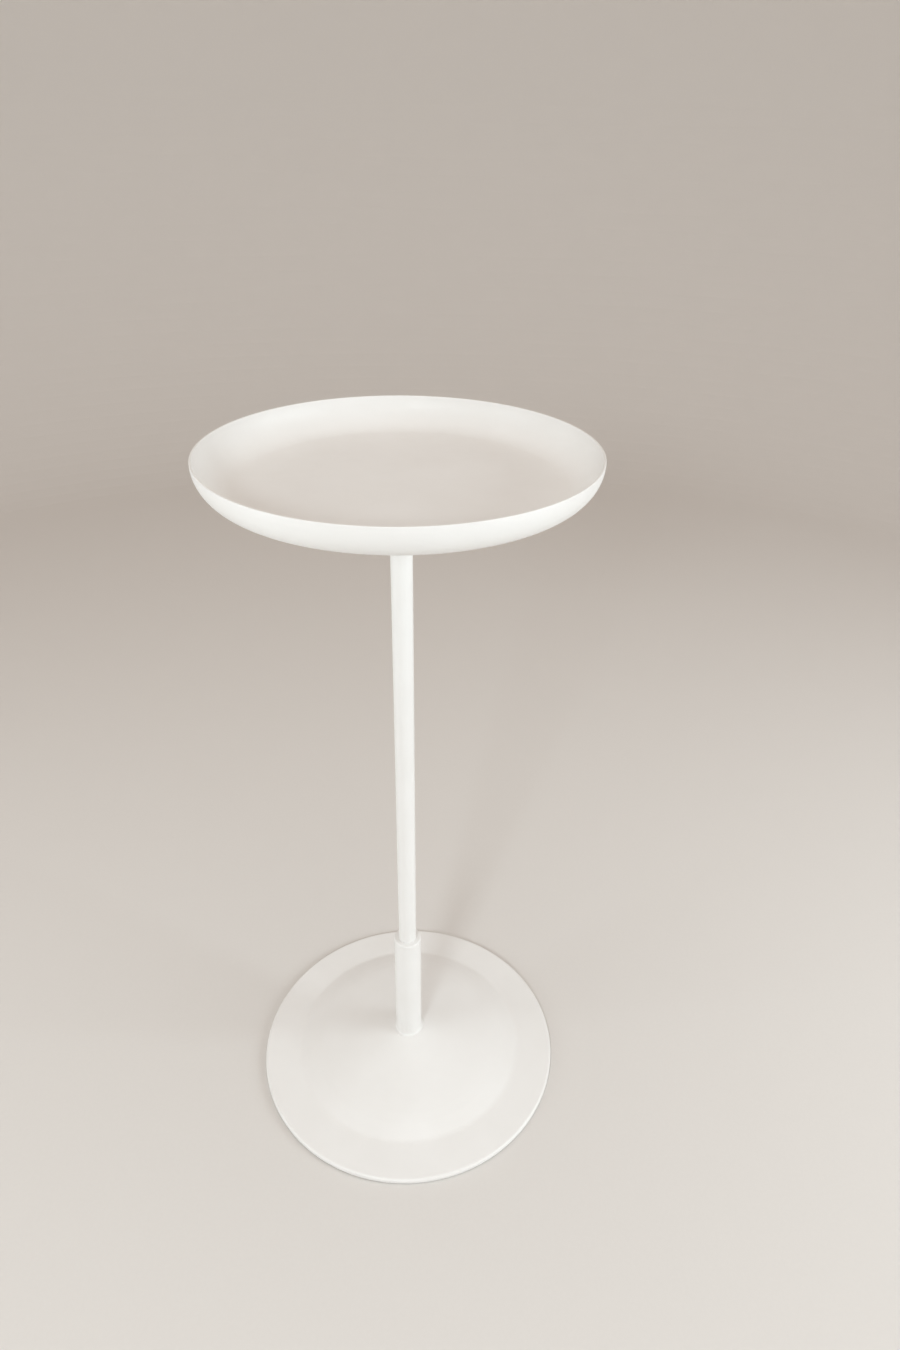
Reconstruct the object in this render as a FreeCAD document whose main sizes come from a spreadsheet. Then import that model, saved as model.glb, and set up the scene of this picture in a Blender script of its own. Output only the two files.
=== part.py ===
import FreeCAD, Part
import os
import re

import Sketcher

# A round wine table: a spun dish tray on a slim stem, which stands in a collar on a weighted, pressed base.
# The origin is on the floor under the middle of the base, and +Z points up the stem.

SIZES = {
    # Floor to the tray's rim
    "overall_height": 618,

    # Tray: one spun sheet, with a flat floor, a quarter bend and a short straight lip
    "tray_diameter": 270,
    "tray_depth": 24.5,
    "tray_lip": 1.3,
    "tray_sheet": 1.5,
    "tray_rim_round": 0.5,

    # Disc and threaded boss welded under the tray's floor
    "flange_diameter": 64,
    "flange_thickness": 3,
    "flange_chamfer": 1,
    "boss_diameter": 22,
    "boss_height": 14,
    "boss_chamfer": 1.5,
    "spigot_diameter": 14,
    "spigot_clearance": 0.15,
    "boss_blind_end": 1.5,

    # Threads of the stud and of the base bolt
    "thread_diameter": 8,
    "thread_clearance": 0.15,
    "thread_chamfer": 1,
    "stud_in_plug": 16,
    "stud_end_gap": 1,

    # Stem tube and the plugs in its ends
    "stem_diameter": 16,
    "stem_wall": 1.5,
    "plug_length": 20,
    "plug_clearance": 0.1,
    "plug_chamfer": 0.5,

    # Collar that the stem stands in
    "collar_diameter": 25,
    "collar_wall": 1.5,
    "collar_height": 127,
    "collar_foot_round": 2.2,
    "collar_foot_toe": 0.4,
    "cap_thickness": 2.5,
    "cap_spigot_height": 10,
    "cap_edge_round": 1.5,
    "guide_height": 14,
    "guide_chamfer": 0.5,
    "slip_clearance": 0.15,

    # Base shell: one pressed sheet, with a brim that rises a little from the edge to the crease,
    # and a cone that grows steeper over a rounded shoulder before it meets the crease
    "base_diameter": 288,
    "base_height": 28,
    "brim_width": 34.5,
    "brim_rise": 2,
    "crease_round": 20,
    "edge_round": 2.5,
    "edge_gap": 0.8,
    "shell_sheet": 1.5,
    "seat_margin": 1,
    "bolt_hole_clearance": 0.5,

    # The shoulder's shares of the cone's width and rise, and its bend's share of the shoulder's width
    "shoulder_width_share": 0.2,
    "shoulder_rise_share": 0.3,
    "shoulder_bend_share": 0.7,

    # Cast ballast under the cone
    "ballast_inset": 6.5,
    "ballast_gap": 0.3,
    "ballast_edge_round": 1.5,

    # Plate that closes the base, with a raised dish for the bolt's head
    "plate_sheet": 1.2,
    "plate_edge_gap": 1,
    "plate_headroom": 0.8,
    "dish_radius": 13,
    "dish_height": 12,
    "dish_wall_angle": 45,

    # Base bolt and its washers
    "bolt_length": 35,
    "bolt_head_flats": 13,
    "bolt_head_height": 5.3,
    "bolt_head_chamfer_angle": 30,
    "washer_diameter": 16,
    "washer_thickness": 1.6,
    "washer_bore_clearance": 0.2,
    "spring_washer_diameter": 14.8,
    "spring_washer_thickness": 2,
    "spring_washer_slit": 1.5,
    "spring_washer_slant": 20,

    # Pads that stand on the floor
    "pad_diameter": 22,
    "pad_thickness": 1.5,
    "pad_margin": 6.5,
    "pad_count": 6,
}

# Sizes and heights that follow from the ones above, as formulas in their names
DERIVED = {
    "tray_radius": "tray_diameter / 2",
    "tray_bottom": "overall_height - tray_depth",
    "flange_bottom": "tray_bottom - flange_thickness",
    "boss_bottom": "flange_bottom - boss_height",
    "thread_radius": "thread_diameter / 2",
    "tapped_radius": "thread_radius + thread_clearance",
    "boss_bore_depth": "boss_height + flange_thickness - boss_blind_end",
    "stud_length": "stud_in_plug + boss_bore_depth - stud_end_gap",
    "stem_radius": "stem_diameter / 2",
    "stem_bore_radius": "stem_radius - stem_wall",
    "stem_length": "boss_bottom - base_height",
    "collar_radius": "collar_diameter / 2",
    "collar_bore_radius": "collar_radius - collar_wall",
    "collar_foot_radius": "collar_radius + collar_foot_round + collar_foot_toe",
    "collar_tube_height": "collar_height - cap_thickness",
    "slip_radius": "stem_radius + slip_clearance",
    "base_radius": "base_diameter / 2",
    "crease_radius": "base_radius - brim_width",
    "plate_top": "pad_thickness + plate_sheet",
    "edge_height": "plate_top + plate_headroom + shell_sheet",
    "crease_height": "edge_height + brim_rise",
    "seat_radius": "collar_foot_radius + seat_margin",
    "bolt_hole_radius": "thread_radius + bolt_hole_clearance",
    "shoulder_width": "shoulder_width_share * (crease_radius - seat_radius)",
    "shoulder_rise": "shoulder_rise_share * (base_height - crease_height)",
    "shoulder_radius": "crease_radius - shoulder_width",
    "shoulder_height": "crease_height + shoulder_rise",
    "cone_slope": "(base_height - shoulder_height) / (shoulder_radius - seat_radius)",
    "cone_drop": "shell_sheet * sqrt(1 + cone_slope ^ 2)",
    "shoulder_slope": "shoulder_rise / shoulder_width",
    "shoulder_drop": "shell_sheet * sqrt(1 + shoulder_slope ^ 2)",
    "shoulder_reach": "shoulder_bend_share * shoulder_width",
    "shoulder_bend": "shoulder_reach / tan((atan(shoulder_slope) - atan(cone_slope)) / 2)",
    "brim_slope": "brim_rise / brim_width",
    "brim_drop": "shell_sheet * sqrt(1 + brim_slope ^ 2)",
    "under_seat_radius": "seat_radius - (cone_drop - shell_sheet) / cone_slope",
    "under_shoulder_shift": "(shoulder_drop - cone_drop) / (shoulder_slope - cone_slope)",
    "under_shoulder_radius": "shoulder_radius - under_shoulder_shift",
    "under_shoulder_height": "shoulder_height + under_shoulder_shift * cone_slope - cone_drop",
    "under_crease_shift": "(shoulder_drop - brim_drop) / (shoulder_slope - brim_slope)",
    "under_crease_radius": "crease_radius - under_crease_shift",
    "under_crease_height": "crease_height + under_crease_shift * brim_slope - brim_drop",
    "under_edge_height": "edge_height + shell_sheet * brim_slope - brim_drop",
    "ballast_radius": "crease_radius - ballast_inset",
    "ballast_height": "base_height - shell_sheet - ballast_gap - plate_top",
    "ballast_edge_top": "crease_height + ballast_inset * shoulder_slope - shoulder_drop - ballast_gap",
    "ballast_edge_height": "ballast_edge_top - plate_top",
    "plate_radius": "base_radius - shell_sheet - plate_edge_gap",
    "dish_mouth_radius": "dish_radius + dish_height / tan(dish_wall_angle)",
    "dish_bend_shift": "plate_sheet * tan(dish_wall_angle / 2)",
    "dish_seat": "pad_thickness + dish_height",
    "washer_bottom": "dish_seat - washer_thickness",
    "spring_washer_bottom": "washer_bottom - spring_washer_thickness",
    "bolt_bottom": "spring_washer_bottom - bolt_head_height",
    "washer_bore_radius": "thread_radius + washer_bore_clearance",
    "bolt_head_radius": "bolt_head_flats / sqrt(3)",
    "pad_circle_radius": "plate_radius - pad_margin - pad_diameter / 2",
}

# How near a measured edge or face has to be to the place it is looked for, in millimetres
NEAR = 0.001

HEXAGON_SIDES = 6

doc = FreeCAD.newDocument("wine_table")
sheet = doc.addObject("Spreadsheet::Sheet", "Sizes")
for row, (size_name, size_value) in enumerate(SIZES.items(), start=1):
    sheet.set(f"A{row}", size_name)
    sheet.set(f"B{row}", str(size_value))
    sheet.setAlias(f"B{row}", size_name)
doc.recompute()


def formula(text):
    """The formula with each size name turned into a reference to the sheet."""
    def reference(match):
        word = match.group()
        if word in DERIVED:
            return "(" + formula(DERIVED[word]) + ")"
        if word in SIZES:
            return "Sizes." + word
        return word
    return re.sub("[a-z_]+", reference, text)


def value(text):
    """The formula's value now."""
    return float(sheet.evalExpression(formula(text)))


def new_body(label, height="0"):
    """An empty body whose own origin stands on the main axis at this height."""
    body = doc.addObject("PartDesign::Body", label)
    body.Label = label
    body.setExpression("Placement.Base.z", formula(height))
    return body


def origin_item(body, role):
    """One of the body's origin planes or axes."""
    return next(item for item in body.Origin.OriginFeatures if item.Role == role)


def flat_sketch(body, name, role):
    """An empty sketch on one of the body's origin planes."""
    sketch = body.newObject("Sketcher::SketchObject", name)
    sketch.AttachmentSupport = [(origin_item(body, role), "")]
    sketch.MapMode = "FlatFace"
    return sketch


def pin_point(sketch, geometry, point, across, up):
    """Hold one point of the sketch at two formulas, across and up from the sketch's origin."""
    for kind, axis, text in (("DistanceX", -2, across), ("DistanceY", -1, up)):
        if text == "0":
            sketch.addConstraint(Sketcher.Constraint("PointOnObject", geometry, point, axis))
            continue
        number = sketch.addConstraint(Sketcher.Constraint(kind, -1, 1, geometry, point, value(text)))
        sketch.setExpression(f"Constraints[{number}]", formula(text))


def half_section(body, name, corners):
    """A closed outline beside the body's axis: each corner is a radius and a height, as formulas."""
    sketch = flat_sketch(body, name, "XZ_Plane")
    points = [FreeCAD.Vector(value(across), value(up), 0) for across, up in corners]
    count = len(points)
    for index in range(count):
        sketch.addGeometry(Part.LineSegment(points[index], points[(index + 1) % count]), False)
    for index, (across, up) in enumerate(corners):
        sketch.addConstraint(Sketcher.Constraint("Coincident", index - 1 if index else count - 1, 2, index, 1))
        pin_point(sketch, index, 1, across, up)
    return sketch


def turn(body, name, corners, kind="PartDesign::Revolution"):
    """Add or, as a groove, cut the half section turned about the body's axis."""
    sketch = half_section(body, name + "_outline", corners)
    feature = body.newObject(kind, name)
    feature.Profile = sketch
    feature.ReferenceAxis = (sketch, ["V_Axis"])
    feature.Angle = 360
    doc.recompute()
    return feature


def cut_turned(body, name, corners):
    """Cut the turned half section out of the body, and make sure that it took material away."""
    before = body.Shape.Volume
    feature = turn(body, name, corners, "PartDesign::Groove")
    if body.Shape.Volume >= before - NEAR:
        raise RuntimeError(f"{body.Label}: {name} cuts nothing")
    return feature


def ring_edges(feature, radius, height):
    """Names of the feature's circular edges of this radius at this height of the body."""
    names = []
    for number, edge in enumerate(feature.Shape.Edges, start=1):
        curve = edge.Curve
        if not isinstance(curve, Part.Circle):
            continue
        if abs(curve.Radius - value(radius)) < NEAR and abs(curve.Center.z - value(height)) < NEAR:
            names.append(f"Edge{number}")
    return names


def round_rings(body, name, feature, rings, radius):
    """Round the circular edges that lie at these radii and heights."""
    edges = [edge for place in rings for edge in ring_edges(feature, *place)]
    fillet = body.newObject("PartDesign::Fillet", name)
    fillet.Base = (feature, edges)
    fillet.setExpression("Radius", formula(radius))
    doc.recompute()
    return fillet


def make_tray():
    """Spun dish: floor and wall of even thickness, joined by a quarter bend, with a rounded rim."""
    body = new_body("tray", "tray_bottom")
    inner_radius = "tray_radius - tray_sheet"
    bend_radius = "tray_depth - tray_lip"
    dish = turn(body, "Dish", [
        ("0", "0"),
        ("tray_radius", "0"),
        ("tray_radius", "tray_depth"),
        (inner_radius, "tray_depth"),
        (inner_radius, "tray_sheet"),
        ("0", "tray_sheet"),
    ])
    outer = round_rings(body, "Outer_bend", dish, [("tray_radius", "0")], bend_radius)
    inner = round_rings(body, "Inner_bend", outer, [(inner_radius, "tray_sheet")], bend_radius + " - tray_sheet")
    rim = [("tray_radius", "tray_depth"), (inner_radius, "tray_depth")]
    round_rings(body, "Rim", inner, rim, "tray_rim_round")
    return body


def make_tray_flange():
    """Disc welded under the tray's floor, with a hole for the boss's spigot and a chamfered lower edge."""
    body = new_body("tray_flange", "flange_bottom")
    turn(body, "Disc", [
        ("spigot_diameter / 2 + spigot_clearance", "0"),
        ("flange_diameter / 2 - flange_chamfer", "0"),
        ("flange_diameter / 2", "flange_chamfer"),
        ("flange_diameter / 2", "flange_thickness"),
        ("spigot_diameter / 2 + spigot_clearance", "flange_thickness"),
    ])
    return body


def make_flange_boss():
    """Turned boss with a spigot that goes up into the flange and a blind threaded hole from below."""
    body = new_body("flange_boss", "boss_bottom")
    turn(body, "Boss", [
        ("tapped_radius", "0"),
        ("boss_diameter / 2 - boss_chamfer", "0"),
        ("boss_diameter / 2", "boss_chamfer"),
        ("boss_diameter / 2", "boss_height"),
        ("spigot_diameter / 2", "boss_height"),
        ("spigot_diameter / 2", "boss_height + flange_thickness"),
        ("0", "boss_height + flange_thickness"),
        ("0", "boss_bore_depth"),
        ("tapped_radius", "boss_bore_depth"),
    ])
    return body


def make_tray_stud():
    """Stud, chamfered at both ends, that runs from the stem's top plug up into the boss."""
    body = new_body("tray_stud", "boss_bottom - stud_in_plug")
    turn(body, "Stud", [
        ("0", "0"),
        ("thread_radius - thread_chamfer", "0"),
        ("thread_radius", "thread_chamfer"),
        ("thread_radius", "stud_length - thread_chamfer"),
        ("thread_radius - thread_chamfer", "stud_length"),
        ("0", "stud_length"),
    ])
    return body


def make_stem_tube():
    """Straight tube that stands on the base shell and carries the boss."""
    body = new_body("stem_tube", "base_height")
    turn(body, "Tube", [
        ("stem_bore_radius", "0"),
        ("stem_radius", "0"),
        ("stem_radius", "stem_length"),
        ("stem_bore_radius", "stem_length"),
    ])
    return body


def make_stem_plug(label, height):
    """Threaded plug in one end of the stem tube, chamfered so that it goes in."""
    body = new_body(label, height)
    plug_radius = "stem_bore_radius - plug_clearance"
    turn(body, "Plug", [
        ("tapped_radius", "0"),
        (plug_radius + " - plug_chamfer", "0"),
        (plug_radius, "plug_chamfer"),
        (plug_radius, "plug_length - plug_chamfer"),
        (plug_radius + " - plug_chamfer", "plug_length"),
        ("tapped_radius", "plug_length"),
    ])
    return body


def make_collar():
    """Tube that stands on the base's seat, with the hollow fillet of its weld round its foot."""
    body = new_body("collar", "base_height")
    tube = turn(body, "Tube", [
        ("collar_bore_radius", "0"),
        ("collar_foot_radius", "0"),
        ("collar_foot_radius", "collar_foot_toe"),
        ("collar_radius", "collar_foot_toe"),
        ("collar_radius", "collar_tube_height"),
        ("collar_bore_radius", "collar_tube_height"),
    ])
    round_rings(body, "Weld", tube, [("collar_radius", "collar_foot_toe")], "collar_foot_round")
    return body


def make_collar_cap():
    """Ring that closes the collar's top round the stem, with a spigot down into the collar."""
    body = new_body("collar_cap", "base_height + collar_tube_height - cap_spigot_height")
    ring = turn(body, "Ring", [
        ("slip_radius", "0"),
        ("collar_bore_radius - slip_clearance", "0"),
        ("collar_bore_radius - slip_clearance", "cap_spigot_height"),
        ("collar_radius", "cap_spigot_height"),
        ("collar_radius", "cap_spigot_height + cap_thickness"),
        ("slip_radius", "cap_spigot_height + cap_thickness"),
    ])
    outer_edge = [("collar_radius", "cap_spigot_height + cap_thickness")]
    round_rings(body, "Shoulder", ring, outer_edge, "cap_edge_round")
    return body


def make_collar_guide():
    """Plastic ring in the collar's foot that centres the stem, chamfered so that the stem finds its way in."""
    body = new_body("collar_guide", "base_height")
    turn(body, "Ring", [
        ("slip_radius", "0"),
        ("collar_bore_radius - slip_clearance", "0"),
        ("collar_bore_radius - slip_clearance", "guide_height"),
        ("slip_radius + guide_chamfer", "guide_height"),
        ("slip_radius", "guide_height - guide_chamfer"),
    ])
    return body


def make_base_shell():
    """Pressed base: turned-down edge, nearly flat brim, crease, rounded shoulder, shallow cone and a flat seat.

    Its upper and lower faces run side by side, one sheet's thickness apart, and the bends share their centres.
    """
    body = new_body("base_shell")
    inner_radius = "base_radius - shell_sheet"
    pressing = turn(body, "Pressing", [
        ("bolt_hole_radius", "base_height"),
        ("seat_radius", "base_height"),
        ("shoulder_radius", "shoulder_height"),
        ("crease_radius", "crease_height"),
        ("base_radius", "edge_height"),
        ("base_radius", "edge_gap"),
        (inner_radius, "edge_gap"),
        (inner_radius, "under_edge_height"),
        ("under_crease_radius", "under_crease_height"),
        ("under_shoulder_radius", "under_shoulder_height"),
        ("under_seat_radius", "base_height - shell_sheet"),
        ("bolt_hole_radius", "base_height - shell_sheet"),
    ])
    bends = [
        ("Edge", "base_radius", "edge_height", "edge_round"),
        ("Under_edge", inner_radius, "under_edge_height", "edge_round - shell_sheet"),
        ("Cone_shoulder", "shoulder_radius", "shoulder_height", "shoulder_bend"),
        ("Under_shoulder", "under_shoulder_radius", "under_shoulder_height", "shoulder_bend - shell_sheet"),
        ("Crease", "crease_radius", "crease_height", "crease_round"),
        ("Under_crease", "under_crease_radius", "under_crease_height", "crease_round + shell_sheet"),
    ]
    for name, radius, height, bend_radius in bends:
        pressing = round_rings(body, name, pressing, [(radius, height)], bend_radius)
    return body


def make_ballast():
    """Cast weight under the cone, with a bore for the bolt and a hollow below for the plate's dish."""
    body = new_body("ballast", "plate_top")
    casting = turn(body, "Casting", [
        ("0", "0"),
        ("ballast_radius", "0"),
        ("ballast_radius", "ballast_edge_height"),
        ("under_seat_radius", "ballast_height"),
        ("0", "ballast_height"),
    ])
    rim = [("ballast_radius", "ballast_edge_height")]
    round_rings(body, "Casting_edge", casting, rim, "ballast_edge_round")
    wall_shift = "dish_bend_shift + ballast_gap"
    cut_turned(body, "Dish_hollow", [
        ("0", "0"),
        ("dish_mouth_radius + " + wall_shift, "0"),
        ("dish_radius + " + wall_shift, "dish_height"),
        ("0", "dish_height"),
    ])
    cut_turned(body, "Bolt_bore", [
        ("0", "0"),
        ("bolt_hole_radius", "0"),
        ("bolt_hole_radius", "base_height"),
        ("0", "base_height"),
    ])
    return body


def make_bottom_plate():
    """Pressed disc that closes the base, with a dish raised in its middle, clear of the bolt's head."""
    body = new_body("bottom_plate", "pad_thickness")
    turn(body, "Disc", [
        ("bolt_hole_radius", "dish_height"),
        ("dish_radius", "dish_height"),
        ("dish_mouth_radius", "0"),
        ("plate_radius", "0"),
        ("plate_radius", "plate_sheet"),
        ("dish_mouth_radius + dish_bend_shift", "plate_sheet"),
        ("dish_radius + dish_bend_shift", "dish_height + plate_sheet"),
        ("bolt_hole_radius", "dish_height + plate_sheet"),
    ])
    return body


def make_base_bolt():
    """Hexagon bolt, head down, whose shank goes up through plate, ballast and shell into the stem's plug."""
    body = new_body("base_bolt", "bolt_bottom")
    head = body.newObject("PartDesign::AdditivePrism", "Head")
    head.Polygon = HEXAGON_SIDES
    head.setExpression("Circumradius", formula("bolt_head_radius"))
    head.setExpression("Height", formula("bolt_head_height"))
    doc.recompute()
    cut_turned(body, "Head_chamfer", [
        ("bolt_head_flats / 2", "0"),
        ("bolt_head_flats", "0"),
        ("bolt_head_flats", "bolt_head_flats / 2 * tan(bolt_head_chamfer_angle)"),
    ])
    tip = "bolt_head_height + bolt_length"
    turn(body, "Shank", [
        ("0", "0"),
        ("thread_radius", "0"),
        ("thread_radius", tip + " - thread_chamfer"),
        ("thread_radius - thread_chamfer", tip),
        ("0", tip),
    ])
    return body


def make_flat_washer():
    """Plain washer between the spring washer and the plate's dish."""
    body = new_body("flat_washer", "washer_bottom")
    turn(body, "Ring", [
        ("washer_bore_radius", "0"),
        ("washer_diameter / 2", "0"),
        ("washer_diameter / 2", "washer_thickness"),
        ("washer_bore_radius", "washer_thickness"),
    ])
    return body


def make_spring_washer():
    """Ring with a slanted slit, between the bolt's head and the flat washer.

    The slit's box stands half a diameter below the ring and leans over, so that it crosses the ring's middle.
    """
    body = new_body("spring_washer", "spring_washer_bottom")
    turn(body, "Ring", [
        ("washer_bore_radius", "0"),
        ("spring_washer_diameter / 2", "0"),
        ("spring_washer_diameter / 2", "spring_washer_thickness"),
        ("washer_bore_radius", "spring_washer_thickness"),
    ])
    ring_volume = body.Shape.Volume
    slit = body.newObject("PartDesign::SubtractiveBox", "Slit")
    slit.setExpression("Length", formula("spring_washer_diameter"))
    slit.setExpression("Width", formula("spring_washer_slit"))
    slit.setExpression("Height", formula("spring_washer_diameter"))
    slit.AttachmentSupport = [(origin_item(body, "XY_Plane"), "")]
    slit.MapMode = "FlatFace"
    slit.AttachmentOffset.Rotation = FreeCAD.Rotation(FreeCAD.Vector(1, 0, 0), 0)
    lean = "(spring_washer_diameter + spring_washer_thickness) / 2 * tan(spring_washer_slant)"
    slit_across = "spring_washer_slit / cos(spring_washer_slant)"
    slit.setExpression("AttachmentOffset.Base.y", formula(lean + " - " + slit_across + " / 2"))
    slit.setExpression("AttachmentOffset.Base.z", formula("-spring_washer_diameter / 2"))
    slit.setExpression("AttachmentOffset.Rotation.Angle", formula("spring_washer_slant"))
    doc.recompute()
    if body.Shape.Volume >= ring_volume - NEAR:
        raise RuntimeError("spring_washer: the slit cuts nothing")
    return body


def make_floor_pads():
    """Round pads on a circle under the plate, one solid each."""
    body = new_body("floor_pads")
    body.AllowCompound = True
    sketch = flat_sketch(body, "Pad_outline", "XY_Plane")
    middle = FreeCAD.Vector(value("pad_circle_radius"), 0, 0)
    sketch.addGeometry(Part.Circle(middle, FreeCAD.Vector(0, 0, 1), value("pad_diameter / 2")), False)
    pin_point(sketch, 0, 3, "pad_circle_radius", "0")
    number = sketch.addConstraint(Sketcher.Constraint("Diameter", 0, value("pad_diameter")))
    sketch.setExpression(f"Constraints[{number}]", formula("pad_diameter"))
    pad = body.newObject("PartDesign::Pad", "First_pad")
    pad.Profile = sketch
    pad.setExpression("Length", formula("pad_thickness"))
    doc.recompute()
    circle = body.newObject("PartDesign::PolarPattern", "Pad_circle")
    circle.Originals = [pad]
    circle.Axis = (origin_item(body, "Z_Axis"), [""])
    circle.Angle = 360
    circle.setExpression("Occurrences", formula("pad_count"))
    body.Tip = circle
    doc.recompute()
    return body


pieces = [
    make_tray(),
    make_tray_flange(),
    make_flange_boss(),
    make_tray_stud(),
    make_stem_tube(),
    make_stem_plug("stem_top_plug", "boss_bottom - plug_length"),
    make_stem_plug("stem_bottom_plug", "base_height"),
    make_collar(),
    make_collar_cap(),
    make_collar_guide(),
    make_base_shell(),
    make_ballast(),
    make_bottom_plate(),
    make_base_bolt(),
    make_flat_washer(),
    make_spring_washer(),
    make_floor_pads(),
]
doc.recompute()

for item in doc.Objects:
    if "Invalid" in item.State or "Error" in item.State:
        raise RuntimeError(f"{item.Label} failed: {item.State}")
for piece in pieces:
    if piece.Shape.isNull() or not piece.Shape.isValid():
        raise RuntimeError(f"{piece.Label} has no valid shape")

os.makedirs("parts", exist_ok=True)
for piece in pieces:
    piece.Shape.exportStep(os.path.join("parts", piece.Label + ".step"))
    box = piece.Shape.optimalBoundingBox()
    print(f"{piece.Label}: {len(piece.Shape.Solids)} solid, {piece.Shape.Volume:.0f} mm3,"
          f" z {box.ZMin:.2f} to {box.ZMax:.2f}, width {box.XLength:.2f}")
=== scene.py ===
import math

import bpy
from mathutils import Matrix, Vector


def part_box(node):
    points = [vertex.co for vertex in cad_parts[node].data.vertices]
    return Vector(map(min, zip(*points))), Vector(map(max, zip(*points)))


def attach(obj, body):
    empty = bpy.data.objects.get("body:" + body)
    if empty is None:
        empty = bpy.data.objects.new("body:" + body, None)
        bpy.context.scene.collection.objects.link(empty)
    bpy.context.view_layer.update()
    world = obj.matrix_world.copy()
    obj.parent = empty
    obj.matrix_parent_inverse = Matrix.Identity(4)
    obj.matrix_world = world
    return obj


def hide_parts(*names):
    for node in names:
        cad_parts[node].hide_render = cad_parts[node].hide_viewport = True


# A round wine table: a white dish tray on a slim stem, which stands in a collar on a weighted base.
# Outlines are half sections, in millimetres.
# Each corner of an outline is a radius, a height and, if it is rounded, a bend radius.

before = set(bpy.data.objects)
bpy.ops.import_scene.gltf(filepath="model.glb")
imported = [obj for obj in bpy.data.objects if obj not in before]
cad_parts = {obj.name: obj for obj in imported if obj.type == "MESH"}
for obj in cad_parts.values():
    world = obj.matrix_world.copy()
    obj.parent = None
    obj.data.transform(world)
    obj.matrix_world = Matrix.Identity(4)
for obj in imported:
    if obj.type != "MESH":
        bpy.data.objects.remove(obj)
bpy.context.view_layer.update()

MILLIMETRE = 0.001

# Steps of a full turn, for the large, the middling and the small pieces, and for screw threads
LARGE_STEPS = 256
MIDDLE_STEPS = 128
SMALL_STEPS = 72
THREAD_STEPS = 32

# A rounded corner takes a step about every three degrees, and no fewer steps than this
BEND_STEP = math.radians(3)
LEAST_BEND_STEPS = 3

# Long straight runs get extra points this near their ends, so that they shade flat beside a bend
RUN_END = 0.5
LONG_RUN = 4 * RUN_END

# Edges that turn by more than this stay crisp
CRISP_ANGLE = math.radians(30)

# Points of a turned piece that fall together on its axis are merged within this distance, in metres
MERGE_DISTANCE = 5e-6

# Noise textures mostly keep between these grey values
NOISE_LOW = 0.3
NOISE_HIGH = 0.7

# Edge radius that the powder coat leaves on turned pieces
COAT_ROUND = 0.25

# Radius of the bolt's hole through the base
BOLT_HOLE = 4.5

# Each lamp's name, place in metres, width in metres, watts and colour
LAMPS = [
    ("key_lamp", (-0.518, -1.503, 1.195), 0.3, 11.2, (0.86, 0.95, 1)),
    ("right_panel", (1.658, -0.523, 0.816), 0.8, 18.2, (0.86, 0.95, 1)),
    ("left_panel", (-1.654, -0.602, 0.724), 0.8, 9.0, (0.88, 0.965, 1)),
    ("front_lamp", (0.250, -1.780, 0.300), 0.5, 0.7, (0.90, 0.97, 1)),
    ("top_panel", (0, 0, 2.2), 1.6, 5.3, (0.95, 1, 0.97)),
]
LAMP_AIM = Vector((0, 0, 0.35))
SURROUND_COLOUR = (1, 0.83, 0.73, 1)
SURROUND_STRENGTH = 0.57


# Node trees

def feed(tree, node, inputs):
    """Give the node its inputs, where an input is a value or another node's output."""
    for key, source in inputs.items():
        if isinstance(source, bpy.types.NodeSocket):
            tree.links.new(source, node.inputs[key])
        else:
            node.inputs[key].default_value = source


def place(tree, kind, inputs=None, **settings):
    """A new node with its settings and inputs."""
    node = tree.nodes.new(kind)
    for name, setting in settings.items():
        setattr(node, name, setting)
    feed(tree, node, inputs or {})
    return node


def calculate(tree, operation, *values):
    """The output of a Math node on these values."""
    node = place(tree, "ShaderNodeMath", dict(enumerate(values)), operation=operation)
    return node.outputs[0]


def new_geometry_tree(name, sockets):
    """An empty geometry tree with these named inputs and one geometry output, and its inputs."""
    tree = bpy.data.node_groups.new(name, "GeometryNodeTree")
    for label, kind in sockets:
        tree.interface.new_socket(label, in_out="INPUT", socket_type="NodeSocket" + kind)
    tree.interface.new_socket("Piece", in_out="OUTPUT", socket_type="NodeSocketGeometry")
    return tree, tree.nodes.new("NodeGroupInput").outputs


def end_tree(tree, geometry, finish):
    """Close the tree: make instances real, give the finish and send the piece out."""
    real = place(tree, "GeometryNodeRealizeInstances", {"Geometry": geometry})
    painted = place(tree, "GeometryNodeSetMaterial", {"Geometry": real.outputs[0], "Material": finish})
    place(tree, "NodeGroupOutput", {"Piece": painted.outputs[0]})


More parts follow.
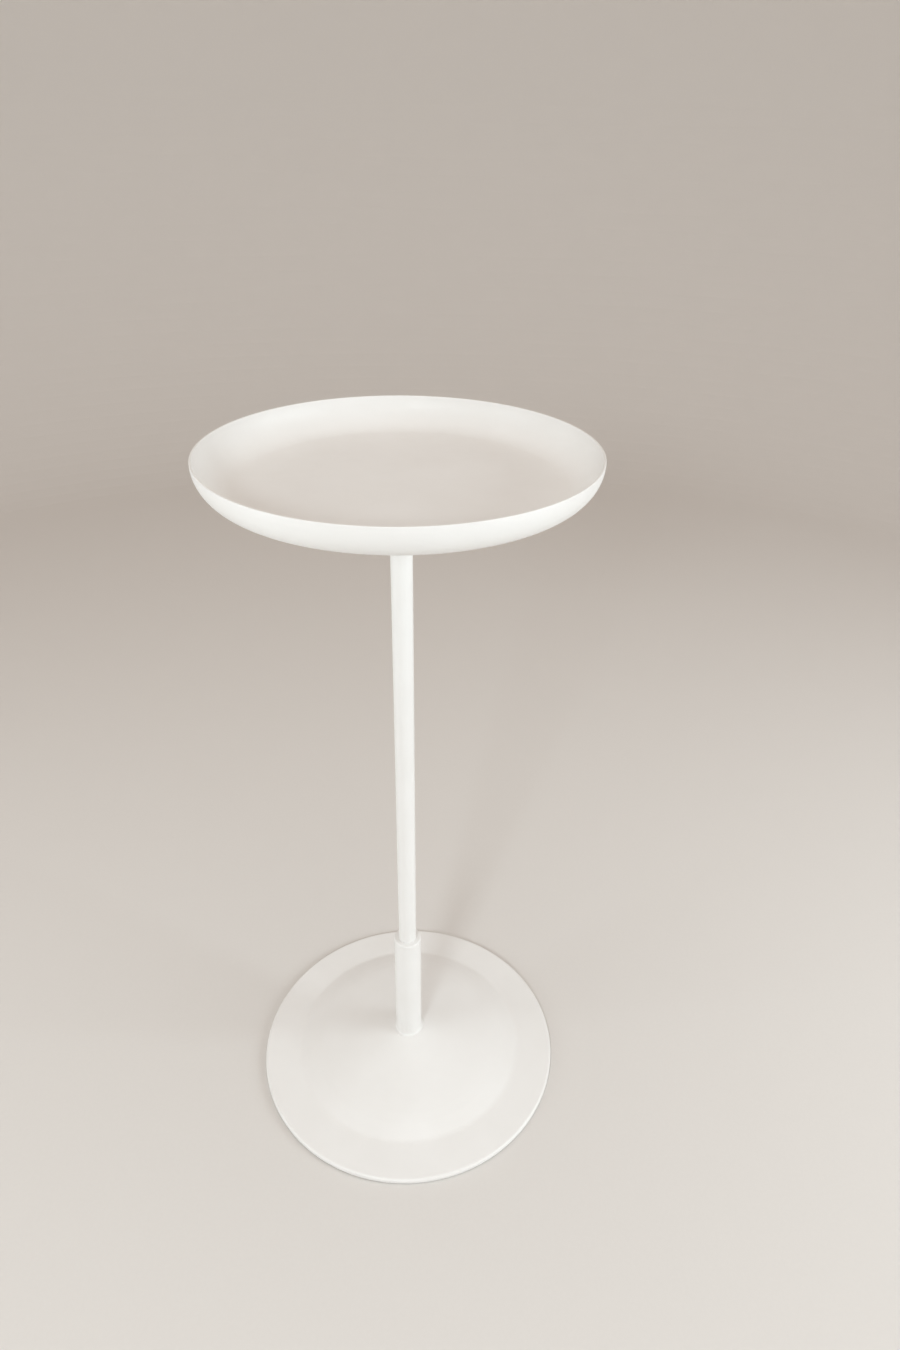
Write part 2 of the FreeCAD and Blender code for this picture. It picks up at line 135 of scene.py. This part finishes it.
def make_turning_tree():
    """Turn a flat outline, radius along X and height along Y, about the upright axis."""
    tree, given = new_geometry_tree("Turned piece", [
        ("Outline", "Geometry"),
        ("Steps round", "Int"),
        ("Crisp angle", "Float"),
        ("Finish", "Material"),
    ])
    wheel_radius = 1.0
    drawn = place(tree, "GeometryNodeMeshToCurve", {"Mesh": given["Outline"]})
    section = place(tree, "GeometryNodeTransform", {
        "Geometry": drawn.outputs[0],
        "Translation": (-wheel_radius, 0, 0),
        "Scale": (1, -1, 1),
    })
    wheel = place(tree, "GeometryNodeCurvePrimitiveCircle", {
        "Resolution": given["Steps round"],
        "Radius": wheel_radius,
    })
    swept = place(tree, "GeometryNodeCurveToMesh", {
        "Curve": wheel.outputs["Curve"],
        "Profile Curve": section.outputs[0],
    })
    welded = place(tree, "GeometryNodeMergeByDistance", {
        "Geometry": swept.outputs[0],
        "Distance": MERGE_DISTANCE,
    })
    outward = place(tree, "GeometryNodeFlipFaces", {"Mesh": welded.outputs[0]})
    smooth = place(tree, "GeometryNodeSetShadeSmooth", {
        "Geometry": outward.outputs[0],
        "Shade Smooth": True,
    })
    angle = place(tree, "GeometryNodeInputMeshEdgeAngle")
    is_crisp = calculate(tree, "GREATER_THAN", angle.outputs["Unsigned Angle"], given["Crisp angle"])
    crisp = place(tree, "GeometryNodeSetShadeSmooth", {
        "Geometry": smooth.outputs[0],
        "Selection": is_crisp,
        "Shade Smooth": False,
    }, domain="EDGE")
    end_tree(tree, crisp.outputs[0], given["Finish"])
    return tree


def place_turned(tree, given, outline, turning):
    """A turned piece inside another tree, from that tree's own inputs."""
    inputs = {label: given[label] for label in ("Steps round", "Crisp angle", "Finish")}
    inputs["Outline"] = given[outline]
    return place(tree, "GeometryNodeGroup", inputs, node_tree=turning)


def make_weld_tree():
    """Press the ripples of a coated weld into the hollow round the collar's foot."""
    fade_gain, lean = 4.0, 1.5
    tree, given = new_geometry_tree("Coated weld", [
        ("Tube", "Geometry"),
        ("Tube radius", "Float"),
        ("Weld bottom", "Float"),
        ("Weld size", "Float"),
        ("Waves round", "Float"),
        ("Ripple depth", "Float"),
        ("Finish", "Material"),
    ])
    position = place(tree, "GeometryNodeInputPosition")
    axes = place(tree, "ShaderNodeSeparateXYZ", {"Vector": position.outputs[0]})
    x, y, z = axes.outputs
    angle = calculate(tree, "ARCTAN2", y, x)
    x_squared = calculate(tree, "POWER", x, 2.0)
    y_squared = calculate(tree, "POWER", y, 2.0)
    radius = calculate(tree, "SQRT", calculate(tree, "ADD", x_squared, y_squared))
    past_tube = calculate(tree, "SUBTRACT", radius, given["Tube radius"])
    above_bottom = calculate(tree, "SUBTRACT", z, given["Weld bottom"])
    outward = calculate(tree, "DIVIDE", past_tube, given["Weld size"])
    upward = calculate(tree, "DIVIDE", above_bottom, given["Weld size"])
    # The ripples fade out towards the edges of the hollow
    in_hollow = calculate(tree, "MULTIPLY", outward, upward)
    strength = place(tree, "ShaderNodeClamp", {"Value": calculate(tree, "MULTIPLY", in_hollow, fade_gain)})
    # They lean forward with height, as the weld was laid in one round, and each wave gives two of them
    turned = calculate(tree, "MULTIPLY", angle, given["Waves round"])
    leaned = calculate(tree, "MULTIPLY", upward, lean)
    ripple = calculate(tree, "ABSOLUTE", calculate(tree, "SINE", calculate(tree, "ADD", turned, leaned)))
    faded = calculate(tree, "MULTIPLY", ripple, strength.outputs[0])
    depth = calculate(tree, "MULTIPLY", faded, given["Ripple depth"])
    normal = place(tree, "GeometryNodeInputNormal")
    inward = place(tree, "ShaderNodeVectorMath", {
        0: normal.outputs[0],
        "Scale": calculate(tree, "MULTIPLY", depth, -1.0),
    }, operation="SCALE")
    pressed = place(tree, "GeometryNodeSetPosition", {
        "Geometry": given["Tube"],
        "Offset": inward.outputs[0],
    })
    end_tree(tree, pressed.outputs[0], given["Finish"])
    return tree


def make_pad_ring_tree(turning):
    """Turn one pad from its outline and repeat it round a circle."""
    tree, given = new_geometry_tree("Ring of pads", [
        ("Pad outline", "Geometry"),
        ("Pad count", "Int"),
        ("Circle radius", "Float"),
        ("Steps round", "Int"),
        ("Crisp angle", "Float"),
        ("Finish", "Material"),
    ])
    pad = place_turned(tree, given, "Pad outline", turning)
    circle = place(tree, "GeometryNodeMeshCircle", {
        "Vertices": given["Pad count"],
        "Radius": given["Circle radius"],
    })
    ring = place(tree, "GeometryNodeInstanceOnPoints", {
        "Points": circle.outputs[0],
        "Instance": pad.outputs[0],
    })
    end_tree(tree, ring.outputs[0], given["Finish"])
    return tree


def make_thread_tree(turning):
    """Turn a plain core from its outline and wind the ridge of a screw thread round it."""
    foot_share, crest_share = 0.43, 0.07
    tree, given = new_geometry_tree("Threaded rod", [
        ("Core outline", "Geometry"),
        ("Thread bottom", "Float"),
        ("Thread length", "Float"),
        ("Thread pitch", "Float"),
        ("Root radius", "Float"),
        ("Crest radius", "Float"),
        ("Steps round", "Int"),
        ("Crisp angle", "Float"),
        ("Finish", "Material"),
    ])
    core = place_turned(tree, given, "Core outline", turning)
    helix = place(tree, "GeometryNodeCurveSpiral", {
        "Resolution": given["Steps round"],
        "Rotations": calculate(tree, "DIVIDE", given["Thread length"], given["Thread pitch"]),
        "Start Radius": given["Root radius"],
        "End Radius": given["Root radius"],
        "Height": given["Thread length"],
    })
    upright = place(tree, "GeometryNodeSetCurveNormal", {"Curve": helix.outputs[0]}, mode="Z_UP")
    # The ridge's section, with half its width at the foot and at the crest as shares of the pitch
    crest = calculate(tree, "SUBTRACT", given["Crest radius"], given["Root radius"])
    foot = calculate(tree, "MULTIPLY", given["Thread pitch"], foot_share)
    top = calculate(tree, "MULTIPLY", given["Thread pitch"], crest_share)
    corners = {}
    sides = ((0.0, foot, -1.0), (crest, top, -1.0), (crest, top, 1.0), (0.0, foot, 1.0))
    for number, (out, half_width, side) in enumerate(sides, 1):
        along = calculate(tree, "MULTIPLY", half_width, side)
        corner = place(tree, "ShaderNodeCombineXYZ", {"X": out, "Y": along})
        corners[f"Point {number}"] = corner.outputs[0]
    ridge = place(tree, "GeometryNodeCurvePrimitiveQuadrilateral", corners, mode="POINTS")
    wound = place(tree, "GeometryNodeCurveToMesh", {
        "Curve": upright.outputs[0],
        "Profile Curve": ridge.outputs[0],
        "Fill Caps": True,
    })
    lift = place(tree, "ShaderNodeCombineXYZ", {"Z": given["Thread bottom"]})
    raised = place(tree, "GeometryNodeTransform", {
        "Geometry": wound.outputs[0],
        "Translation": lift.outputs[0],
    })
    plated = place(tree, "GeometryNodeSetMaterial", {
        "Geometry": raised.outputs[0],
        "Material": given["Finish"],
    })
    rod = place(tree, "GeometryNodeJoinGeometry")
    for part in (core, plated):
        tree.links.new(part.outputs[0], rod.inputs[0])
    end_tree(tree, rod.outputs[0], given["Finish"])
    return tree


def grow(piece, tree, values):
    """Run a geometry tree on the piece with these named values, and keep its result as a plain mesh."""
    modifier = piece.modifiers.new(tree.name, "NODES")
    modifier.node_group = tree
    for item in tree.interface.items_tree:
        if item.in_out == "INPUT" and item.name in values:
            modifier[item.identifier] = values[item.name]
    bpy.context.view_layer.update()
    evaluated = piece.evaluated_get(bpy.context.evaluated_depsgraph_get())
    mesh = bpy.data.meshes.new_from_object(evaluated)
    piece.modifiers.remove(modifier)
    drawing = piece.data
    piece.data = mesh
    mesh.name = piece.name
    bpy.data.meshes.remove(drawing)


# Outlines

def round_corners(corners, closed):
    """The outline's points, with the corners that have a bend radius turned into arcs."""
    points = []
    count = len(corners)
    for index, corner in enumerate(corners):
        here = Vector(corner[:2])
        at_end = not closed and index in (0, count - 1)
        if at_end or len(corner) < 3:
            points.append(here)
            continue
        bend = corner[2]
        back = (Vector(corners[index - 1][:2]) - here).normalized()
        ahead = (Vector(corners[(index + 1) % count][:2]) - here).normalized()
        half = back.angle(ahead) / 2
        centre = here + (back + ahead).normalized() * bend / math.sin(half)
        spoke = here + back * bend / math.tan(half) - centre
        turn = math.pi - 2 * half
        if back.x * ahead.y - back.y * ahead.x > 0:
            turn = -turn
        steps = max(LEAST_BEND_STEPS, math.ceil(abs(turn) / BEND_STEP))
        for step in range(steps + 1):
            points.append(centre + Matrix.Rotation(turn * step / steps, 2) @ spoke)
    return points


def guard_runs(points, closed):
    """The points, with two more in each long straight run, near its ends."""
    guarded = []
    pairs = list(zip(points, points[1:]))
    if closed:
        pairs.append((points[-1], points[0]))
    for start, end in pairs:
        guarded.append(start)
        run = end - start
        if run.length > LONG_RUN:
            step = run.normalized() * RUN_END
            guarded.extend((start + step, end - step))
    if not closed:
        guarded.append(points[-1])
    return guarded


def sheet_outline(upper, sheet, edge_round):
    """The outline of a pressed sheet, from its upper face listed from the middle outwards.

    The lower face runs beside the upper one at the sheet's thickness, and bends share their centres.
    """
    lower = []
    last = len(upper) - 1
    for index, corner in enumerate(upper):
        here = Vector(corner[:2])
        into = here - Vector(upper[max(index - 1, 0)][:2])
        out = Vector(upper[min(index + 1, last)][:2]) - here
        into = (into if index else out).normalized()
        out = (out if index < last else into).normalized()
        below_in = Vector((into.y, -into.x))
        below_out = Vector((out.y, -out.x))
        shift = (below_in + below_out) * sheet / (1 + below_in.dot(below_out))
        bend = ()
        if len(corner) > 2:
            turns_up = into.x * out.y - into.y * out.x > 0
            bend = (corner[2] + (sheet if turns_up else -sheet),)
        lower.append((here.x + shift.x, here.y + shift.y, *bend))
    lower[-1] = (*lower[-1], edge_round)
    upper = [*upper[:-1], (*upper[-1], edge_round)]
    return lower + upper[::-1]


def add_piece(name, vertices, edges, faces):
    """A new piece with this mesh, whose vertices are given in millimetres."""
    mesh = bpy.data.meshes.new(name)
    mesh.from_pydata([tuple(axis * MILLIMETRE for axis in vertex) for vertex in vertices], edges, faces)
    piece = bpy.data.objects.new(name, mesh)
    bpy.context.scene.collection.objects.link(piece)
    return piece


def draw_outline(name, corners):
    """A flat drawing of the outline: open if it reaches the axis, closed if not."""
    closed = min(corner[0] for corner in corners) > 0
    points = guard_runs(round_corners(corners, closed), closed)
    edges = [(index, index + 1) for index in range(len(points) - 1)]
    if closed:
        edges.append((len(points) - 1, 0))
    return add_piece(name, [(point.x, point.y, 0) for point in points], edges, [])


def turn_piece(name, corners, steps, finish):
    """A piece turned from its outline, with its place in its mesh."""
    piece = draw_outline(name, corners)
    grow(piece, turning_tree, {"Steps round": steps, "Crisp angle": CRISP_ANGLE, "Finish": finish})
    return piece


def fit(piece, node):
    """The piece stands for the CAD node, on the table's one body."""
    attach(piece, "root")
    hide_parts(node)


def heights(node):
    """Lowest and highest height of a CAD node, in millimetres."""
    low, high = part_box(node)
    return low.z / MILLIMETRE, high.z / MILLIMETRE


def outer_radius(node):
    """Outer radius of a round CAD node, in millimetres."""
    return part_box(node)[1].x / MILLIMETRE


# Finishes

def new_finish(name):
    """A material with a Principled shader, its tree, its shader and the piece's own coordinates."""
    finish = bpy.data.materials.new(name)
    finish.use_nodes = True
    tree = finish.node_tree
    shader = tree.nodes["Principled BSDF"]
    coordinates = place(tree, "ShaderNodeTexCoord").outputs["Object"]
    return finish, tree, shader, coordinates


def noise(tree, coordinates, scale, detail=2.0, roughness=0.5):
    """The grey value of a noise texture, whose scale is in waves a metre."""
    node = place(tree, "ShaderNodeTexNoise", {
        "Vector": coordinates,
        "Scale": scale,
        "Detail": detail,
        "Roughness": roughness,
    })
    return node.outputs["Fac"]


def spread(tree, value, low=0, high=1):
    """The noise value stretched from its usual range to low and high."""
    node = place(tree, "ShaderNodeMapRange", {
        "Value": value,
        "From Min": NOISE_LOW,
        "From Max": NOISE_HIGH,
        "To Min": low,
        "To Max": high,
    })
    return node.outputs["Result"]


def tint(tree, value, low, high):
    """A colour between low and high by the value."""
    node = place(tree, "ShaderNodeMix", {"Factor": value}, data_type="RGBA")
    colours = [socket for socket in node.inputs if socket.type == "RGBA"]
    for socket, colour in zip(colours, (low, high)):
        socket.default_value = (*colour, 1)
    return next(socket for socket in node.outputs if socket.type == "RGBA")


def bump(tree, height, strength, distance, under=None):
    """A bumped normal from the height, on top of another bump. The distance is in metres."""
    inputs = {"Height": height, "Strength": strength, "Distance": distance}
    if under:
        inputs["Normal"] = under
    return place(tree, "ShaderNodeBump", inputs).outputs["Normal"]


def make_powder_coat():
    """Satin white powder coat: a soft orange peel, a fine grain and a slightly uneven tone and gloss."""
    finish, tree, shader, coordinates = new_finish("satin_white_powder_coat")
    tone = spread(tree, noise(tree, coordinates, scale=18, detail=3))
    gloss = noise(tree, coordinates, scale=120, detail=3)
    peel = noise(tree, coordinates, scale=520, detail=1)
    grain = noise(tree, coordinates, scale=2600, detail=2)
    soft = bump(tree, peel, strength=0.10, distance=0.0004)
    feed(tree, shader, {
        "Base Color": tint(tree, tone, low=(0.815, 0.805, 0.784), high=(0.843, 0.836, 0.818)),
        "Roughness": spread(tree, gloss, low=0.40, high=0.52),
        "Normal": bump(tree, grain, strength=0.06, distance=0.0001, under=soft),
    })
    return finish


def make_zinc_plate():
    """Bright zinc on steel: fine turning marks round the axis, and a faint blue and straw clouding."""
    finish, tree, shader, coordinates = new_finish("bright_zinc_plate")
    stretched = place(tree, "ShaderNodeMapping", {"Vector": coordinates, "Scale": (1, 1, 12)})
    marks = noise(tree, stretched.outputs[0], scale=420, detail=3)
    cloud = spread(tree, noise(tree, coordinates, scale=140, detail=2))
    feed(tree, shader, {
        "Base Color": tint(tree, cloud, low=(0.57, 0.58, 0.60), high=(0.64, 0.62, 0.57)),
        "Metallic": 1,
        "Roughness": spread(tree, marks, low=0.28, high=0.46),
        "Normal": bump(tree, marks, strength=0.15, distance=0.0001),
    })
    return finish


def make_cast_iron():
    """Black-primed casting: sandy skin with pits and a little brown where the primer is thin."""
    finish, tree, shader, coordinates = new_finish("primed_cast_iron")
    sand = noise(tree, coordinates, scale=900, detail=4, roughness=0.65)
    lumps = noise(tree, coordinates, scale=60, detail=2)
    thin = spread(tree, noise(tree, coordinates, scale=45, detail=5, roughness=0.7))
    uneven = bump(tree, lumps, strength=0.4, distance=0.001)
    feed(tree, shader, {
        "Base Color": tint(tree, thin, low=(0.055, 0.055, 0.058), high=(0.10, 0.085, 0.075)),
        "Metallic": 0.25,
        "Roughness": spread(tree, sand, low=0.6, high=0.85),
        "Normal": bump(tree, sand, strength=0.6, distance=0.0004, under=uneven),
    })
    return finish


def make_nylon():
    """Natural nylon: milky, with a faint flow pattern from the mould."""
    finish, tree, shader, coordinates = new_finish("natural_nylon")
    flow = spread(tree, noise(tree, coordinates, scale=160, detail=3))
    gloss = noise(tree, coordinates, scale=700)
    feed(tree, shader, {
        "Base Color": tint(tree, flow, low=(0.68, 0.66, 0.59), high=(0.75, 0.73, 0.68)),
        "Roughness": spread(tree, gloss, low=0.38, high=0.55),
        "Subsurface Weight": 0.15,
        "Subsurface Radius": (0.002, 0.002, 0.0015),
        "Normal": bump(tree, flow, strength=0.1, distance=0.0002),
    })
    return finish


def make_sponge_rubber():
    """Matt black sponge rubber: open pores and a dusty bloom."""
    finish, tree, shader, coordinates = new_finish("black_sponge_rubber")
    pores = place(tree, "ShaderNodeTexVoronoi", {"Vector": coordinates, "Scale": 1400.0})
    bloom = spread(tree, noise(tree, coordinates, scale=220, detail=4))
    feed(tree, shader, {
        "Base Color": tint(tree, bloom, low=(0.022, 0.022, 0.024), high=(0.045, 0.044, 0.042)),
        "Roughness": spread(tree, bloom, low=0.78, high=0.95),
        "Normal": bump(tree, pores.outputs["Distance"], strength=0.5, distance=0.0003),
    })
    return finish


def make_studio_floor():
    """Plain pale matt paper for the floor and the cove."""
    finish, tree, shader, coordinates = new_finish("pale_studio_paper")
    fibre = noise(tree, coordinates, scale=300, detail=3)
    feed(tree, shader, {
        "Base Color": tint(tree, fibre, low=(0.70, 0.675, 0.645), high=(0.72, 0.695, 0.665)),
        "Roughness": 0.9,
        "Specular IOR Level": 0.2,
    })
    return finish


# Pieces

def make_tray():
    """Spun dish of one sheet, with a quarter bend between its flat floor and its short straight lip."""
    sheet, lip, rim_round = 1.5, 1.3, 0.5
    radius = outer_radius("tray") - sheet
    bottom, top = heights("tray")
    bend = top - bottom - lip - sheet
    inside = [
        (0, bottom + sheet),
        (radius, bottom + sheet, bend),
        (radius, top),
    ]
    tray = turn_piece("dish_tray", sheet_outline(inside, sheet, rim_round), LARGE_STEPS, powder_coat)
    fit(tray, "tray")


def make_tray_disc():
    """Disc under the tray, with its lower edge chamfered."""
    hole, chamfer = 7.15, 1.0
    radius = outer_radius("tray_flange")
    bottom, top = heights("tray_flange")
    disc = turn_piece("tray_fixing_disc", [
        (hole, bottom),
        (radius - chamfer, bottom, COAT_ROUND),
        (radius, bottom + chamfer, COAT_ROUND),
        (radius, top),
        (hole, top),
    ], MIDDLE_STEPS, powder_coat)
    fit(disc, "tray_flange")


def make_tray_boss():
    """Boss with a blind bore for the stud, whose spigot sits in the disc's hole."""
    bore, blind_end, spigot, chamfer = 4.15, 1.5, 7.0, 1.5
    radius = outer_radius("flange_boss")
    bottom, top = heights("flange_boss")
    shoulder = heights("tray_flange")[0]
    boss = turn_piece("tray_fixing_boss", [
        (0, top - blind_end),
        (bore, top - blind_end),
        (bore, bottom),
        (radius - chamfer, bottom, COAT_ROUND),
        (radius, bottom + chamfer, COAT_ROUND),
        (radius, shoulder),
        (spigot, shoulder),
        (spigot, top),
        (0, top),
    ], SMALL_STEPS, powder_coat)
    fit(boss, "flange_boss")


def make_stem():
    """Straight tube, its cut ends deburred."""
    wall, deburr = 1.5, 0.2
    radius = outer_radius("stem_tube")
    bottom, top = heights("stem_tube")
    stem = turn_piece("stem", [
        (radius - wall, bottom),
        (radius, bottom, deburr),
        (radius, top, deburr),
        (radius - wall, top),
    ], SMALL_STEPS, powder_coat)
    fit(stem, "stem_tube")


def make_collar():
    """Tube on the base, with its coated weld."""
    wall, weld, toe = 1.5, 2.2, 0.4
    waves_round, ripple_depth = 44, 0.15
    radius = outer_radius("collar_cap")
    foot = outer_radius("collar")
    bottom, top = heights("collar")
    collar = turn_piece("collar_tube", [
        (radius - wall, bottom),
        (foot, bottom),
        (foot, bottom + toe),
        (radius, bottom + toe, weld),
        (radius, top),
        (radius - wall, top),
    ], 4 * SMALL_STEPS, powder_coat)
    grow(collar, weld_tree, {
        "Tube radius": radius * MILLIMETRE,
        "Weld bottom": (bottom + toe) * MILLIMETRE,
        "Weld size": weld * MILLIMETRE,
        "Waves round": waves_round,
        "Ripple depth": ripple_depth * MILLIMETRE,
        "Finish": powder_coat,
    })
    fit(collar, "collar")


def make_collar_ring():
    """Ring that closes the collar, and whose coat narrows its bore at the top so that no gap shows."""
    bore, coated_bore, coat_depth = 8.15, 8.02, 0.6
    spigot, thickness, edge_round = 10.85, 2.5, 1.5
    radius = outer_radius("collar_cap")
    bottom, top = heights("collar_cap")
    ring = turn_piece("collar_ring", [
        (bore, bottom),
        (spigot, bottom),
        (spigot, top - thickness),
        (radius, top - thickness),
        (radius, top, edge_round),
        (coated_bore, top),
        (bore, top - coat_depth),
    ], SMALL_STEPS, powder_coat)
    fit(ring, "collar_cap")


def make_base_shell():
    """Pressed shell with its seat, cone, shoulder, crease, brim and turned-down edge."""
    sheet, seat, brim, edge_round = 1.5, 16.1, 34.5, 0.4
    edge_height, crease_height, crease_bend, edge_bend = 5, 7, 20, 2.5
    width_share, rise_share, bend_share = 0.2, 0.3, 0.7
    radius = outer_radius("base_shell")
    bottom, top = heights("base_shell")
    crease = radius - brim
    shoulder = crease - width_share * (crease - seat)
    shoulder_height = crease_height + rise_share * (top - crease_height)
    cone_angle = math.atan2(top - shoulder_height, shoulder - seat)
    shoulder_angle = math.atan2(shoulder_height - crease_height, crease - shoulder)
    shoulder_bend = bend_share * (crease - shoulder) / math.tan((shoulder_angle - cone_angle) / 2)
    outside = [
        (BOLT_HOLE, top),
        (seat, top),
        (shoulder, shoulder_height, shoulder_bend),
        (crease, crease_height, crease_bend),
        (radius, edge_height, edge_bend),
        (radius, bottom),
    ]
    shell = turn_piece("base_pressing", sheet_outline(outside, sheet, edge_round), LARGE_STEPS, powder_coat)
    fit(shell, "base_shell")


def make_bottom_disc():
    """Plate that closes the base from below, with a raised dish for the bolt's head."""
    sheet, dish, dish_mouth, bend, edge_round = 1.2, 13.5, 25.5, 2.0, 0.3
    radius = outer_radius("bottom_plate")
    bottom, top = heights("bottom_plate")
    inside = [
        (BOLT_HOLE, top),
        (dish, top, bend),
        (dish_mouth, bottom + sheet, bend),
        (radius, bottom + sheet),
    ]
    plate = turn_piece("bottom_disc", sheet_outline(inside, sheet, edge_round), LARGE_STEPS, powder_coat)
    fit(plate, "bottom_plate")


def make_pads():
    """Round pads stuck under the plate on one circle, with soft lower edges."""
    pad_radius, pad_count, edge_round = 11, 6, 0.5
    bottom, top = heights("floor_pads")
    pads = draw_outline("floor_pads_ring", [
        (0, bottom),
        (pad_radius, bottom, edge_round),
        (pad_radius, top),
        (0, top),
    ])
    grow(pads, pad_ring_tree, {
        "Pad count": pad_count,
        "Circle radius": (outer_radius("floor_pads") - pad_radius) * MILLIMETRE,
        "Steps round": SMALL_STEPS,
        "Crisp angle": CRISP_ANGLE,
        "Finish": sponge_rubber,
    })
    fit(pads, "floor_pads")


def make_threaded_rod(name, bottom, top):
    """A rod with an M8 thread between two heights, chamfered at its ends."""
    root, crest, pitch, chamfer, run_out = 3.25, 4.0, 1.25, 0.5, 0.9
    rod = draw_outline(name, [
        (0, bottom),
        (root - chamfer, bottom),
        (root, bottom + chamfer),
        (root, top - chamfer),
        (root - chamfer, top),
        (0, top),
    ])
    grow(rod, thread_tree, {
        "Thread bottom": (bottom + run_out) * MILLIMETRE,
        "Thread length": (top - bottom - 2 * run_out) * MILLIMETRE,
        "Thread pitch": pitch * MILLIMETRE,
        "Root radius": root * MILLIMETRE,
        "Crest radius": crest * MILLIMETRE,
        "Steps round": THREAD_STEPS,
        "Crisp angle": CRISP_ANGLE,
        "Finish": zinc_plate,
    })
    return rod


def make_hexagon_head(name, bottom, top, flats):
    """A bolt's head: a hexagon whose lower corners are turned off at thirty degrees."""
    sides, steps_a_side = 6, 8
    corner_slope = math.tan(math.radians(30))
    inner = flats / 2
    count = sides * steps_a_side
    rings = [[], [], []]
    for step in range(count):
        angle = 2 * math.pi * step / count
        from_flat = (step % steps_a_side) / steps_a_side * 2 * math.pi / sides - math.pi / sides
        reach = inner / math.cos(from_flat)
        turned_off = (reach - inner) * corner_slope
        for ring, radius, height in zip(rings, (inner, reach, reach), (bottom, bottom + turned_off, top)):
            ring.append((radius * math.cos(angle), radius * math.sin(angle), height))
    faces = [tuple(reversed(range(count))), tuple(range(2 * count, 3 * count))]
    for level in (0, count):
        for step in range(count):
            following = (step + 1) % count
            faces.append((level + step, level + following, level + count + following, level + count + step))
    head = add_piece(name, [vertex for ring in rings for vertex in ring], [], faces)
    head.data.materials.append(zinc_plate)
    return head


def make_tray_stud():
    """Stud between the boss under the tray and the stem."""
    stud = make_threaded_rod("tray_stud_thread", *heights("tray_stud"))
    fit(stud, "tray_stud")


def make_base_bolt():
    """Bolt that clamps the base to the stem: its shank, threaded all along, and its head."""
    head_height, flats = 5.3, 13
    bottom, top = heights("base_bolt")
    neck = bottom + head_height
    shank = make_threaded_rod("base_bolt_thread", neck, top)
    fit(shank, "base_bolt")
    head = make_hexagon_head("base_bolt_head", bottom, neck, flats)
    fit(head, "base_bolt")


def make_base_washer():
    """Punched flat washer above the bolt's head."""
    bore, punched = 4.2, 0.25
    radius = outer_radius("flat_washer")
    bottom, top = heights("flat_washer")
    washer = turn_piece("base_washer", [
        (bore, bottom),
        (radius, bottom, punched),
        (radius, top, punched),
        (bore, top),
    ], SMALL_STEPS, zinc_plate)
    fit(washer, "flat_washer")


def paint_node(node, finish):
    """Give a CAD node that keeps its own shape its finish."""
    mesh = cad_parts[node].data
    mesh.materials.clear()
    mesh.materials.append(finish)


# Studio

def make_stage():
    """A round floor that sweeps up into a plain wall on all sides."""
    floor_radius, wall_height, sweep, drop = 2600, 2600, 900, 0.2
    cove = turn_piece("studio_cove", [
        (floor_radius, wall_height),
        (floor_radius, -drop, sweep),
        (0, -drop),
    ], MIDDLE_STEPS, studio_floor)


def add_lamp(name, location, width, watts, colour):
    """A soft square lamp that points at the table, and that the camera doesn't see."""
    light = bpy.data.lights.new(name, "AREA")
    light.shape = "SQUARE"
    light.size = width
    light.energy = watts
    light.color = colour
    lamp = bpy.data.objects.new(name, light)
    lamp.location = location
    lamp.rotation_euler = (LAMP_AIM - Vector(location)).to_track_quat("-Z", "Y").to_euler()
    lamp.visible_camera = False
    bpy.context.scene.collection.objects.link(lamp)


def make_lights():
    """Soft studio lamps and a dim, even surround."""
    for lamp in LAMPS:
        add_lamp(*lamp)
    world = bpy.data.worlds.new("studio_surround")
    world.use_nodes = True
    feed(world.node_tree, world.node_tree.nodes["Background"], {
        "Color": SURROUND_COLOUR,
        "Strength": SURROUND_STRENGTH,
    })
    bpy.context.scene.world = world


def make_camera():
    """The photograph's viewpoint, worked out from the outlines of the tray, the stem and the base."""
    # The eye is in metres, the angles in radians, the sensor and the lens in millimetres
    eye = Vector((0, -0.5773, 0.7997))
    pitch, yaw, roll = 0.5544, 0.0616, 0.0165
    sensor, lens = 36, 23.70
    ahead = Vector((math.sin(yaw) * math.cos(pitch), math.cos(yaw) * math.cos(pitch), -math.sin(pitch)))
    right = ahead.cross(Vector((0, 0, 1))).normalized()
    up = right.cross(ahead)
    rolled_right = right * math.cos(roll) + up * math.sin(roll)
    rolled_up = up * math.cos(roll) - right * math.sin(roll)
    turned = Matrix((rolled_right, rolled_up, -ahead)).transposed()
    camera = bpy.data.objects.new("camera", bpy.data.cameras.new("camera"))
    camera.data.sensor_width = sensor
    camera.data.lens = lens
    camera.matrix_world = Matrix.Translation(eye) @ turned.to_4x4()
    bpy.context.scene.collection.objects.link(camera)
    bpy.context.scene.camera = camera


turning_tree = make_turning_tree()
weld_tree = make_weld_tree()
pad_ring_tree = make_pad_ring_tree(turning_tree)
thread_tree = make_thread_tree(turning_tree)

powder_coat = make_powder_coat()
zinc_plate = make_zinc_plate()
cast_iron = make_cast_iron()
nylon = make_nylon()
sponge_rubber = make_sponge_rubber()
studio_floor = make_studio_floor()

make_tray()
make_tray_disc()
make_tray_boss()
make_stem()
make_collar()
make_collar_ring()
make_base_shell()
make_bottom_disc()
make_pads()
make_tray_stud()
make_base_bolt()
make_base_washer()
for node, finish in (
    ("stem_top_plug", zinc_plate),
    ("stem_bottom_plug", zinc_plate),
    ("spring_washer", zinc_plate),
    ("ballast", cast_iron),
    ("collar_guide", nylon),
):
    paint_node(node, finish)

make_stage()
make_lights()
make_camera()
bpy.context.scene.view_settings.view_transform = "Standard"
